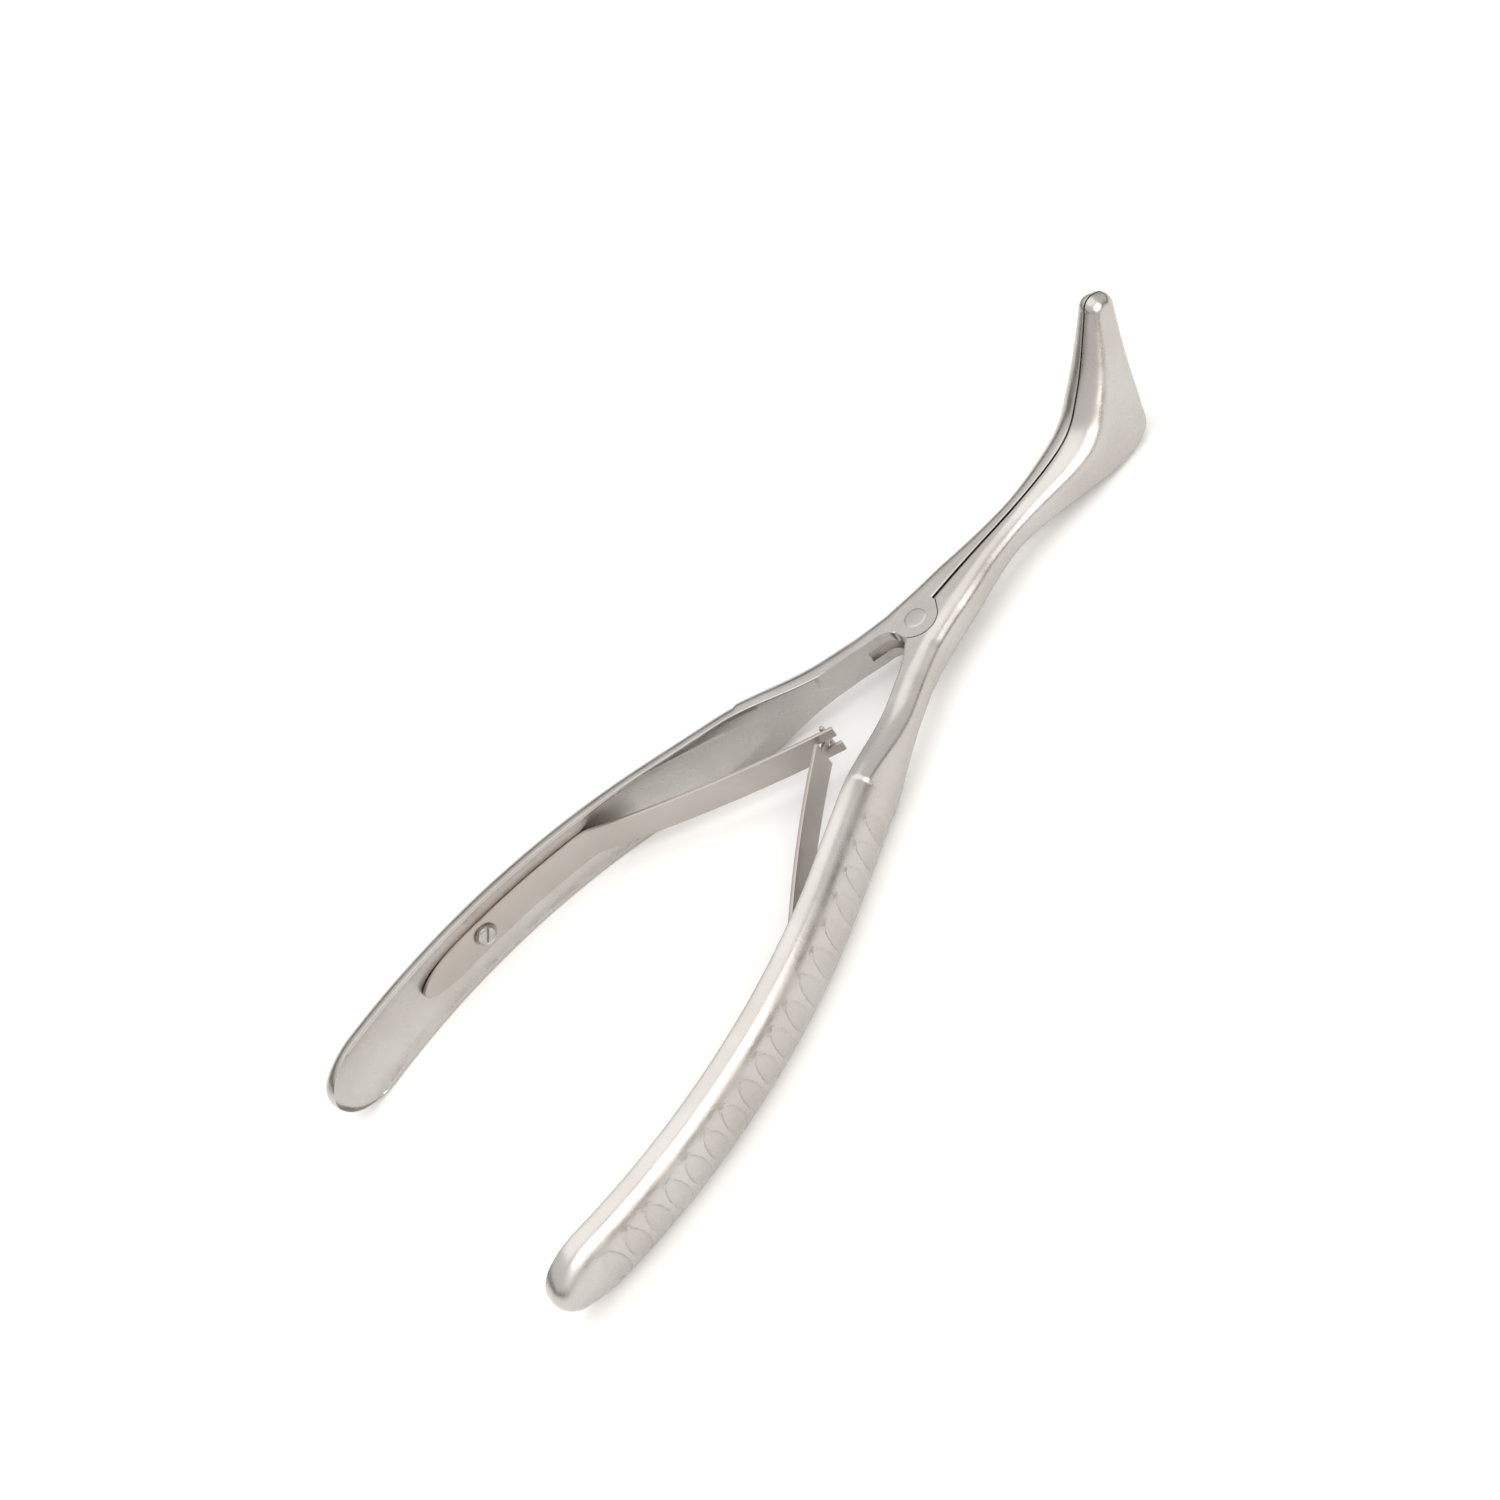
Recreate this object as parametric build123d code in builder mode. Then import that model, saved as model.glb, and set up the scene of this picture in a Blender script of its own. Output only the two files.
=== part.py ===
from build123d import *
from math import asin, cos, degrees, hypot, radians, sin, tan
import os

os.makedirs("parts", exist_ok=True)

# Nasal speculum of the Hartmann pattern, closed, lying on the edges of its handles.
# The two arms meet at a slot-and-tongue joint and don't cross: squeezing the handles opens the blades.
# Each leaf spring is screwed into its handle, and the two leaves hook together between the handles.
# Units are millimetres. The origin is on the pivot axis, in the plane of the joint's lower cheek.
# +X is the way the right arm opens, +Y runs from the handles to the blades, +Z is up along the pivot.

# Joint
joint_depth = 5.6        # over the two cheeks
mid_z = joint_depth / 2  # the tool's middle plane, which the handles are symmetric about
ear_radius = 3.4
joint_gap = 0.1          # between the round ear and the shoulder that runs round it
tongue_depth = 1.7
tongue_radius = 3.0
tongue_play = 0.1        # each side of the tongue, and round its edge
web_radius = 4.2         # how far the tongue reaches into its own arm
crotch_radius = 1.55     # hollow between the ear and the left shank
crotch_centre = (-1.55, -5.0)
# the wedge that runs the hollow out along the shank
crotch_relief = ((-3.02, -4.5), (-5.23, -9.53), (-7.6, -15.8), (-6.5, -15.8), (-0.2, -5.0))
pin_radius = 1.3
pin_head_radius = 1.62
pin_head_depth = 0.32
pin_recess = 0.04        # the peened ends lie this far below the cheeks
pin_play = 0.05          # between the pin and the tongue
half_seam = 0.1          # half the gap between the two arms from the joint to the tips

# Plan shape of the inside of an arm: a straight shank, then a long bow
shank_lean = radians(23.7)
shank_foot = (3.74, -7.0)   # where the shank's inside starts
bow_start_y = -40.0
bow_radius = 112.0
handle_end_y = -103.3
end_length = 8.5            # the rounded free end, along the handle

# The dished inside of the handle
dish_depth = 1.15
dish_half_width = 5.3
dish_run_out = 17.0         # length over which the dish fades out towards the shank

# Leaf springs
leaf_width = 5.0
leaf_thickness = 0.6
leaf_seat = 0.27            # from the handle's rim plane to the leaf's inner face
leaf_foot_y = -84.2
leaf_foot_start_y = -76.0   # where the leaf starts to narrow to its rounded foot
leaf_lift_y = -53.0         # where the leaf leaves the handle
leaf_bend_radius = 4.0
leaf_bend = radians(26.0)
leaf_split = 0.12           # gap between the clamped and the free stretch
hook_y = -22.0              # where the two leaves cross, in the plane between the arms
fork_reach = 2.2            # prongs past the crossing
fork_slot_back = 1.3        # slot short of the crossing
fork_slot_width = 1.7
neck_width = 1.2            # tongue of the hooked leaf, in the slot
neck_start = 1.6            # shoulders short of the crossing
neck_end = 1.15             # T-head's near edge past the crossing
head_length = 0.6
head_width = 4.2

# Oval finger grips, ground shallow into the outside of each handle
oval_count = 18
oval_first_y = -30.5
oval_last_y = -95.0
oval_length = 6.4           # across the handle
oval_width = 2.9            # along the handle
oval_depth = 0.15
oval_drop = 0.5             # their middle lies below the handle's

# Screws
screw_y = -71.9
screw_radius = 0.9
screw_length = 2.6
screw_head_radius = 1.45
screw_head_height = 0.85
screw_head_chamfer = 0.2
screw_slot_width = 0.45
screw_slot_depth = 0.4
screw_slot_turn = 37.0      # degrees from upright, leaning towards the blades
screw_hole_play = 0.1
screw_sink = 0.3            # the head's seat lies this far below the leaf's inner face
screw_seat_radius = 1.5     # the countersink round the head, at its seat
screw_dish_radius = 2.1     # and where it meets the leaf's face

spare = 1.5   # how far a section reaches past the inside of its arm, before the inside is cut
far = 40.0    # longer than anything that a cutter has to pass through

# The arm's section across the handle: depth along Z, thickness at the edges, thickness at the crown
shank_section = (5.5, 3.1, 4.0)
grip_section = (11.4, 1.1, 4.0)
shoulder_start_y = -13.0   # where the shank starts to widen into the grip
shoulder_end_y = -29.0
shank_start_y = 1.0
shank_sections = 9         # that the shank and shoulder are drawn through

# Neck and blade: top edge (y, z from the middle plane), lower edge (y, z), half width,
# and the radii that round the top and the lower edge into the side
blade_stations = (
    ((-3.0, 2.75), (-3.0, -2.75), 6.3, 1.6, 1.6),
    ((1.0, 2.75), (1.0, -2.7), 5.7, 1.7, 1.6),
    ((4.5, 2.75), (4.5, -2.6), 4.95, 1.7, 1.6),
    ((9.0, 2.7), (9.0, -2.35), 4.3, 1.75, 1.5),
    ((13.7, 2.55), (13.7, -2.05), 3.45, 1.7, 1.3),
    ((18.5, 2.3), (18.3, -2.0), 2.95, 1.4, 1.1),
    ((23.0, 2.15), (22.6, -2.5), 2.85, 1.6, 0.9),
    ((27.3, 2.2), (27.2, -3.2), 3.2, 1.8, 0.6),
    ((31.4, 2.5), (32.8, -4.1), 3.8, 2.4, 0.4),
    ((34.6, 3.2), (39.5, -5.3), 4.2, 3.2, 0.4),
    ((37.0, 4.5), (45.2, -4.2), 4.3, 3.5, 0.8),
    ((39.4, 6.8), (46.9, -0.3), 4.1, 3.4, 1.4),
    ((41.7, 9.3), (48.1, 4.6), 3.7, 3.1, 1.6),
    ((43.8, 12.0), (49.4, 9.0), 3.1, 2.6, 1.7),
    ((45.8, 14.8), (50.7, 12.5), 2.5, 2.1, 1.7),
    ((47.2, 16.8), (51.5, 14.6), 2.2, 1.9, 1.8),
)

# Funnel between the blades, from below its mouth to the closed tip:
# near wall (y, z), far wall (y, z), half width
funnel_stations = (
    ((31.5, -9.5), (42.6, -12.0), 3.2),
    ((35.0, -2.0), (44.2, -4.2), 3.2),
    ((38.3, 3.6), (45.9, 0.2), 3.1),
    ((42.4, 8.3), (47.4, 5.8), 2.7),
    ((46.2, 13.2), (49.0, 12.0), 1.2),
)


# Where the handle's rim runs in plan

shank_slope = tan(shank_lean)
bow_start_x = shank_foot[0] + (shank_foot[1] - bow_start_y) * shank_slope
bow_centre = (
    bow_start_x - bow_radius * cos(shank_lean),
    bow_start_y - bow_radius * sin(shank_lean),
)


def lean_at(y):
    """The angle that the handle's outward normal has turned from +X, at this y of the rim."""
    return shank_lean if y >= bow_start_y else asin((y - bow_centre[1]) / bow_radius)


def rim_at(y, out=0.0):
    """The point in plan on the handle's inner rim at this y, moved outwards along the normal."""
    lean = lean_at(y)
    if y >= bow_start_y:
        x = shank_foot[0] + (shank_foot[1] - y) * shank_slope
    else:
        x = bow_centre[0] + bow_radius * cos(lean)
    return (x + out * cos(lean), y + out * sin(lean))


def rim_plane(y, out=0.0):
    """A plane across the handle: its x points outwards, its y up."""
    lean = lean_at(y)
    return Plane((*rim_at(y, out), mid_z), x_dir=(cos(lean), sin(lean), 0), z_dir=(sin(lean), -cos(lean), 0))


def across_plane(y, out=0.0):
    """A plane on the handle's inside: its x points up, its normal into the space between the handles."""
    lean = lean_at(y)
    return Plane((*rim_at(y, out), mid_z), x_dir=(0, 0, 1), z_dir=(-cos(lean), -sin(lean), 0))


def blade_plane(top, low):
    """A plane across the neck or blade: its x is +X, its y runs from the lower to the top edge."""
    middle_y, middle_z = (top[0] + low[0]) / 2, (top[1] + low[1]) / 2
    up = Vector(0, top[0] - low[0], top[1] - low[1]).normalized()
    return Plane((0, middle_y, mid_z + middle_z), x_dir=(1, 0, 0), z_dir=Vector(1, 0, 0).cross(up))


def span(top, low):
    return hypot(top[0] - low[0], top[1] - low[1])


# Both arms start from the same forging, which is drawn as the right one

with BuildPart() as fore_forging:
    for top, low, half_width, top_round, low_round in blade_stations:
        half = span(top, low) / 2
        with BuildSketch(blade_plane(top, low)):
            with BuildLine():
                FilletPolyline(
                    (-spare, half),
                    (half_width, half),
                    (half_width, -half),
                    (-spare, -half),
                    radius=[top_round, low_round],
                )
                Line((-spare, -half), (-spare, half))
            make_face()
    loft()

tip_top, tip_low, tip_width, tip_top_round, tip_low_round = blade_stations[-1]
tip_half = span(tip_top, tip_low) / 2
tip_plane = blade_plane(tip_top, tip_low)
with BuildPart() as tip_dome:
    with BuildSketch(tip_plane):
        with BuildLine():
            FilletPolyline(
                (0, tip_half),
                (tip_width, tip_half),
                (tip_width, -tip_half),
                (0, -tip_half),
                radius=[tip_top_round, tip_low_round],
            )
            Line((0, -tip_half), (0, tip_half))
        make_face()
    revolve(axis=Axis(tip_plane.origin, tip_plane.y_dir), revolution_arc=90)


def arch(depth, edge, crown):
    """The outline of a strip's section: flat inside, crowned outside."""
    with BuildLine() as outline:
        Polyline((edge, -depth / 2), (-spare, -depth / 2), (-spare, depth / 2), (edge, depth / 2))
        ThreePointArc((edge, depth / 2), (crown, 0), (edge, -depth / 2))
    return outline.edges()


def section_at(y):
    """The strip's section at this y of the rim: it swells smoothly from the shank's to the grip's."""
    share = (shoulder_start_y - y) / (shoulder_start_y - shoulder_end_y)
    share = min(max(share, 0.0), 1.0)
    share = share**2 * (3 - 2 * share)
    return [a + share * (b - a) for a, b in zip(shank_section, grip_section)]


def grip_strip(sink):
    """The grip, straight at first and then bowed, with its outside sunk by this much."""
    depth, edge, crown = grip_section
    outline = arch(depth, edge - sink, crown - sink)
    with BuildPart() as strip:
        with BuildSketch(rim_plane(shoulder_end_y)):
            make_face(outline)
        extrude(amount=(shoulder_end_y - bow_start_y) / cos(shank_lean))
        with BuildSketch(rim_plane(bow_start_y)):
            make_face(outline)
        revolve(
            axis=Axis((*bow_centre, 0), (0, 0, -1)),
            revolution_arc=degrees(lean_at(bow_start_y) - lean_at(handle_end_y - 1)),
        )
    return strip.part


with BuildPart() as shank:
    for i in range(shank_sections):
        y = shank_start_y + (shoulder_end_y - shank_start_y) * i / (shank_sections - 1)
        with BuildSketch(rim_plane(y)):
            make_face(arch(*section_at(y)))
    loft()

with BuildPart() as inside_cutter:
    with BuildSketch(Plane.XY.offset(-far)):
        with BuildLine():
            Polyline((half_seam, -2.3), (half_seam, far * 2), (-far, far * 2), (-far, handle_end_y - 10))
            Polyline((-far, handle_end_y - 10), rim_at(handle_end_y - 10))
            ThreePointArc(rim_at(handle_end_y - 10), rim_at(-75), rim_at(bow_start_y))
            Polyline(rim_at(bow_start_y), shank_foot, (half_seam, -2.3))
        make_face()
    extrude(amount=far * 2)

# The dish: a ring section along the bow, open at the free end, and a straight run-out that rises from it
dish_radius = (dish_half_width**2 + dish_depth**2) / (2 * dish_depth)
dish_centre = dish_depth - dish_radius
run_out_lean = shank_lean + dish_depth / dish_run_out
with BuildPart() as dish_cutter:
    with BuildSketch(rim_plane(bow_start_y)):
        with Locations((dish_centre, 0)):
            Circle(dish_radius)
    revolve(
        axis=Axis((*bow_centre, 0), (0, 0, -1)),
        revolution_arc=degrees(lean_at(bow_start_y) - lean_at(handle_end_y - 1)),
    )
    with BuildSketch(
        Plane(
            (*rim_at(bow_start_y, dish_centre), mid_z),
            z_dir=(-sin(run_out_lean), cos(run_out_lean), 0),
        )
    ):
        Circle(dish_radius)
    extrude(amount=dish_run_out)

# The handle's rounded free end
with BuildPart() as end_cutter:
    with BuildSketch(across_plane(handle_end_y).offset(-far / 4)):
        half_depth = grip_section[0] / 2
        with Locations((0, -end_length)):
            Rectangle(far, 2 * end_length, align=(Align.CENTER, Align.MIN))
        with Locations((0, end_length)):
            Ellipse(half_depth, end_length, mode=Mode.SUBTRACT)
            Rectangle(far, far, align=(Align.CENTER, Align.MIN), mode=Mode.SUBTRACT)
    extrude(amount=far / 2)

with BuildPart() as funnel_cutter:
    for near_wall, far_wall, half_width in funnel_stations:
        half = span(near_wall, far_wall) / 2
        rounding = 0.8 * min(half, half_width)
        with BuildSketch(blade_plane(near_wall, far_wall)):
            with BuildLine():
                FilletPolyline(
                    (-spare, half), (half_width, half), (half_width, -half), (-spare, -half), radius=rounding
                )
                Line((-spare, -half), (-spare, half))
            make_face()
    loft()

# The oval finger grips: posts that reach the crown, less a core that leaves them the grips' depth
with BuildPart() as oval_cutter:
    for i in range(oval_count):
        y = oval_first_y + (oval_last_y - oval_first_y) * i / (oval_count - 1)
        with BuildSketch(across_plane(y, far / 4)):
            with Locations((-oval_drop, 0)):
                Ellipse(oval_length / 2, oval_width / 2)
        extrude(amount=far / 4)
    add(grip_strip(oval_depth), mode=Mode.SUBTRACT)

seat_plane = across_plane(screw_y, leaf_seat + screw_sink)
with BuildPart() as forging:
    add(shank.part)
    add(grip_strip(0))
    add(fore_forging.part)
    add(tip_dome.part)
    add(inside_cutter.part, mode=Mode.SUBTRACT)
    add(dish_cutter.part, mode=Mode.SUBTRACT)
    add(end_cutter.part, mode=Mode.SUBTRACT)
    add(funnel_cutter.part, mode=Mode.SUBTRACT)
    add(oval_cutter.part, mode=Mode.SUBTRACT)
    with BuildSketch(seat_plane):
        Circle(screw_radius)
    extrude(amount=-screw_length, mode=Mode.SUBTRACT)

# Joint outlines

with BuildSketch() as ear_outline:
    Circle(ear_radius)
    with BuildLine():
        Polyline((-1, 4.0), (0.6, 3.8), (2.35, 2.45), (0, 0), close=True)
    make_face()

with BuildSketch() as slot_outline:
    Circle(tongue_radius + tongue_play)
    with Locations((0, -0.9)):
        Rectangle(5, 8.2, align=(Align.MIN, Align.CENTER))
    with BuildLine():
        Polyline((0, -2.5), (-2.6, -1.8), (-5.6, -6.7), (0, -9.2), close=True)
    make_face()

# The pin is made first: its hole is cut with the same shape

with BuildPart() as pivot_pin:
    with BuildSketch(Plane.YZ):
        with BuildLine():
            Polyline(
                (0, pin_recess),
                (pin_head_radius, pin_recess),
                (pin_radius, pin_recess + pin_head_depth),
                (pin_radius, joint_depth - pin_recess - pin_head_depth),
                (pin_head_radius, joint_depth - pin_recess),
                (0, joint_depth - pin_recess),
                close=True,
            )
        make_face()
    revolve(axis=Axis.Z)

# Arms: the left one has the ear and the slot, the right one the shoulder and the tongue

with BuildPart() as left_arm:
    mirror(forging.part, about=Plane.YZ)
    with BuildSketch():
        add(ear_outline.sketch)
    extrude(amount=joint_depth)
    with BuildSketch():
        with Locations(crotch_centre):
            Circle(crotch_radius)
        with BuildLine():
            Polyline(*crotch_relief, close=True)
        make_face()
    extrude(amount=far, both=True, mode=Mode.SUBTRACT)
    with BuildSketch(Plane.XY.offset(mid_z)):
        add(slot_outline.sketch)
    extrude(amount=tongue_depth / 2 + tongue_play, both=True, mode=Mode.SUBTRACT)
    add(pivot_pin.part, mode=Mode.SUBTRACT)
    with BuildSketch(Plane.XY.offset(pin_recess), Plane.XY.offset(joint_depth)):
        Circle(pin_head_radius)
    extrude(amount=-pin_recess, mode=Mode.SUBTRACT)

web_start, web_end = radians(-50), radians(45)
with BuildPart() as right_arm:
    add(forging.part)
    with BuildSketch(Plane.XY.offset(-far)):
        add(ear_outline.sketch)
        offset(amount=joint_gap)
    extrude(amount=2 * far, mode=Mode.SUBTRACT)
    with BuildSketch(Plane.XY.offset(mid_z)):
        Circle(tongue_radius)
        with BuildLine():
            Line((0, 0), (web_radius * cos(web_start), web_radius * sin(web_start)))
            ThreePointArc(
                (web_radius * cos(web_start), web_radius * sin(web_start)),
                (web_radius, 0),
                (web_radius * cos(web_end), web_radius * sin(web_end)),
            )
            Line((web_radius * cos(web_end), web_radius * sin(web_end)), (0, 0))
        make_face()
    extrude(amount=tongue_depth / 2, both=True)
    with BuildSketch(Plane.XY.offset(mid_z)):
        Circle(pin_radius + pin_play)
    extrude(amount=tongue_depth, both=True, mode=Mode.SUBTRACT)

# Screws, drawn on the right

with BuildPart() as right_screw:
    with BuildSketch(seat_plane):
        Circle(screw_radius)
    extrude(amount=-screw_length)
    with BuildSketch(seat_plane):
        Circle(screw_head_radius)
    extrude(amount=screw_head_height)
    top_face = right_screw.faces().sort_by(Axis(seat_plane.origin, seat_plane.z_dir))[-1]
    chamfer(top_face.edges(), screw_head_chamfer)
    with BuildSketch(seat_plane.offset(screw_head_height)):
        Rectangle(far / 4, screw_slot_width, rotation=screw_slot_turn)
    extrude(amount=-screw_slot_depth, mode=Mode.SUBTRACT)

with BuildPart() as left_screw:
    mirror(right_screw.part, about=Plane.YZ)

# Leaves, drawn on the right: the clamped stretch, then the free stretch up to the hook

leaf_middle = leaf_seat + leaf_thickness / 2
foot_start = Vector(*rim_at(leaf_foot_start_y, leaf_middle))
foot_length = (foot_start - Vector(*rim_at(leaf_foot_y, leaf_middle))).length
with BuildPart() as right_leaf_root:
    with BuildSketch(Plane.XY.offset(mid_z)):
        with BuildLine():
            ThreePointArc(
                rim_at(leaf_foot_y, leaf_middle),
                rim_at(screw_y, leaf_middle),
                rim_at(leaf_lift_y, leaf_middle),
            )
        trace(line_width=leaf_thickness)
    extrude(amount=leaf_width / 2, both=True)
    with BuildSketch(across_plane(leaf_foot_start_y)):
        Ellipse(leaf_width / 2, foot_length)
        Rectangle(leaf_width, far, align=(Align.CENTER, Align.MIN))
    extrude(amount=far, both=True, mode=Mode.INTERSECT)
    with BuildSketch(seat_plane):
        Circle(screw_radius + screw_hole_play)
    extrude(amount=-screw_length, mode=Mode.SUBTRACT)
    with BuildSketch(seat_plane):
        Circle(screw_seat_radius)
    with BuildSketch(seat_plane.offset(2 * screw_sink)):
        Circle(2 * screw_dish_radius - screw_seat_radius)
    loft(mode=Mode.SUBTRACT)

lift_lean = lean_at(leaf_lift_y)
lift_heading = Vector(-sin(lift_lean), cos(lift_lean))
lift_point = Vector(*rim_at(leaf_lift_y, leaf_middle)) + lift_heading * leaf_split
with BuildLine() as leaf_path:
    bend = JernArc(lift_point, lift_heading, leaf_bend_radius, degrees(leaf_bend))
    sweep_arc = TangentArc(bend @ 1, (0, hook_y), tangent=bend % 1)
    Line(sweep_arc @ 1, sweep_arc @ 1 + (sweep_arc % 1) * 2 * spare)
hook_plane = Plane((0, hook_y, mid_z), x_dir=sweep_arc % 1, z_dir=(sweep_arc % 1).cross(Vector(0, 0, 1)))

with BuildPart() as free_leaf:
    with BuildSketch(Plane.XY.offset(mid_z)):
        add(leaf_path.line)
        trace(line_width=leaf_thickness)
    extrude(amount=leaf_width / 2, both=True)

with BuildPart() as right_leaf_hook:
    add(free_leaf.part)
    with BuildSketch(hook_plane):
        with Locations((-neck_start, 0)):
            Rectangle(2 * far, leaf_width, align=(Align.MAX, Align.CENTER))
        Rectangle(neck_end, neck_width, align=(Align.MIN, Align.CENTER))
        Rectangle(neck_start, neck_width, align=(Align.MAX, Align.CENTER))
        with Locations((neck_end, 0)):
            Rectangle(head_length, head_width, align=(Align.MIN, Align.CENTER))
    extrude(amount=far, both=True, mode=Mode.INTERSECT)

with BuildPart() as right_fork:
    add(free_leaf.part)
    with BuildSketch(hook_plane):
        with Locations((fork_reach, 0)):
            Rectangle(2 * far, leaf_width, align=(Align.MAX, Align.CENTER))
        with Locations((-fork_slot_back, 0)):
            Rectangle(far, fork_slot_width, align=(Align.MIN, Align.CENTER), mode=Mode.SUBTRACT)
    extrude(amount=far, both=True, mode=Mode.INTERSECT)

with BuildPart() as left_leaf_fork:
    mirror(right_fork.part, about=Plane.YZ)

with BuildPart() as left_leaf_root:
    mirror(right_leaf_root.part, about=Plane.YZ)

for name, built in (
    ("left_arm", left_arm),
    ("right_arm", right_arm),
    ("pivot_pin", pivot_pin),
    ("left_leaf_root", left_leaf_root),
    ("right_leaf_root", right_leaf_root),
    ("left_leaf_fork", left_leaf_fork),
    ("right_leaf_hook", right_leaf_hook),
    ("left_screw", left_screw),
    ("right_screw", right_screw),
):
    built.part.label = name
    export_step(built.part, f"parts/{name}.step")
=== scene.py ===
import math

import bmesh
import bpy
import numpy as np
from mathutils import Matrix, Vector


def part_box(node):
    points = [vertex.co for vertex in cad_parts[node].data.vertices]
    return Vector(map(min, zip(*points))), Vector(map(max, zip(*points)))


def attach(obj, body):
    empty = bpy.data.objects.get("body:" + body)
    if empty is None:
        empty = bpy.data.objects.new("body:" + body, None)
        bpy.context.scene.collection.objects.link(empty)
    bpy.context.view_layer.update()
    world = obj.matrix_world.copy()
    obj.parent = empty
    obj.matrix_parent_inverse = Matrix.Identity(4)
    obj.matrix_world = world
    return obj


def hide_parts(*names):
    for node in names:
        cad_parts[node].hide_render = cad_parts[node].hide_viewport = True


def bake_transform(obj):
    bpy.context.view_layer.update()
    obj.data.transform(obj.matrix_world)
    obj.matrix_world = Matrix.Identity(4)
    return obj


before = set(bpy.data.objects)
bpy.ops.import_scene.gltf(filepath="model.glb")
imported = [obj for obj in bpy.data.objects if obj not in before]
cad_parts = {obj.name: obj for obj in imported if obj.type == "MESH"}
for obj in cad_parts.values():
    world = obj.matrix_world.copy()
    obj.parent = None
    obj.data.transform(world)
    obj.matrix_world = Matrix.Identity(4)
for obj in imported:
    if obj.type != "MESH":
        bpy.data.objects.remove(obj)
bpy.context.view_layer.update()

MM = 0.001  # metres in a millimetre

# ---------------------------------------------------------------- sizes, in millimetres, from the frame
pin_lo, pin_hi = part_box("pivot_pin")
MID = (pin_lo[2] + pin_hi[2]) / 2 / MM
arm_lo, arm_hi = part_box("right_arm")
END_Y = arm_lo[1] / MM

EAR_R = 3.4
GAP = 0.1
HALF_SEAM = 0.13
SLOT_R, SLOT_HALF = 3.1, 0.95        # the left arm's slot: radius round the pivot, half its width
TONGUE_R, TONGUE_HALF = 3.0, 0.85    # the right arm's tongue, likewise
WEB_R, WEB_HALF = 4.3, 0.84          # how the tongue runs into its own arm
PIN_HEAD_R = 1.645                   # recess for the peened head
PIN_BORE_R = 1.35                    # hole through the tongue
LEAN = math.radians(23.7)
FOOT = (3.74, -7.0)
BOW_Y = -40.0
BOW_R = 112.0
BOW_X = FOOT[0] + (FOOT[1] - BOW_Y) * math.tan(LEAN)
BOW_C = (BOW_X - BOW_R * math.cos(LEAN), BOW_Y - BOW_R * math.sin(LEAN))
END_LEN = 8.5

SHANK = (5.5, 3.1, 4.0, 1.9)      # depth, thickness at the edge and at the crown, rounding of the outer edges
GRIP = (11.4, 1.6, 4.0, 1.25)
DISH_DEPTH = 1.15
DISH_HALF = 5.3
DISH_R = (DISH_HALF**2 + DISH_DEPTH**2) / (2 * DISH_DEPTH)
DISH_RUN = 17.0

SHOULDER_Y, SHOULDER_RUN = -13.0, 16.0    # where the shank starts to widen, and over what length
STEP_Y, STEP_RUN = -26.3, 0.7             # where the grip's crown starts

OVALS = 18
OVAL_FIRST = -30.5
OVAL_LAST = -95.0
OVAL_A = 1.5
OVAL_B = 3.2
OVAL_DEPTH = 0.5
OVAL_DROP = 0.5

BLADE = (
    ((4.5, 2.75), (4.5, -2.6), 4.95, 2.4, 1.6),
    ((9.0, 2.7), (9.0, -2.35), 4.3, 2.4, 1.5),
    ((13.7, 2.55), (13.7, -2.05), 3.45, 2.2, 1.3),
    ((18.5, 2.3), (18.3, -2.0), 2.95, 2.0, 1.1),
    ((23.0, 2.15), (22.6, -2.5), 2.85, 2.1, 0.9),
    ((27.3, 2.2), (27.2, -3.2), 3.2, 2.5, 0.6),
    ((31.4, 2.5), (32.8, -4.1), 3.8, 3.0, 0.4),
    ((34.6, 3.2), (39.5, -5.3), 4.2, 3.6, 0.4),
    ((37.0, 4.5), (45.2, -4.2), 4.3, 3.8, 0.8),
    ((39.4, 6.8), (46.9, -0.3), 4.1, 3.6, 1.4),
    ((41.7, 9.3), (48.1, 4.6), 3.7, 3.25, 1.6),
    ((43.8, 12.0), (49.4, 9.0), 3.1, 2.7, 1.7),
    ((45.8, 14.8), (50.7, 12.5), 2.5, 2.15, 1.7),
    ((47.2, 16.8), (51.5, 14.6), 2.2, 1.9, 1.8),
)
WALL = 1.05

LEAF_W = 5.0
LEAF_T = 0.6
LEAF_SEAT = 0.27
LEAF_MID = LEAF_SEAT + LEAF_T / 2
LEAF_FOOT = -84.2
FOOT_START = -76.0
LEAF_LIFT = -53.0
BEND_R = 4.0
BEND = math.radians(26.0)
HOOK_Y = -22.0
SCREW_Y = -71.9
NECK_START, NECK_END, HEAD_END = 1.6, 1.15, 1.75      # of the hooked leaf, short of and past the crossing
NECK_HALF, HEAD_HALF = 0.6, 2.1
FORK_START, FORK_REACH, FORK_HALF = 1.3, 2.2, 0.85    # the fork's slot and prongs
SINK_R, SINK_RUN, SINK = 2.1, 0.6, 0.33               # countersink round the screw


# ---------------------------------------------------------------- plan curves
def lean_at(y):
    return LEAN if y >= BOW_Y else math.asin((y - BOW_C[1]) / BOW_R)


def rim_at(y, out=0.0):
    lean = lean_at(y)
    x = FOOT[0] + (FOOT[1] - y) * math.tan(LEAN) if y >= BOW_Y else BOW_C[0] + BOW_R * math.cos(lean)
    return (x + out * math.cos(lean), y + out * math.sin(lean))


def smooth(t):
    t = min(max(t, 0.0), 1.0)
    return t * t * (3 - 2 * t)


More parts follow.
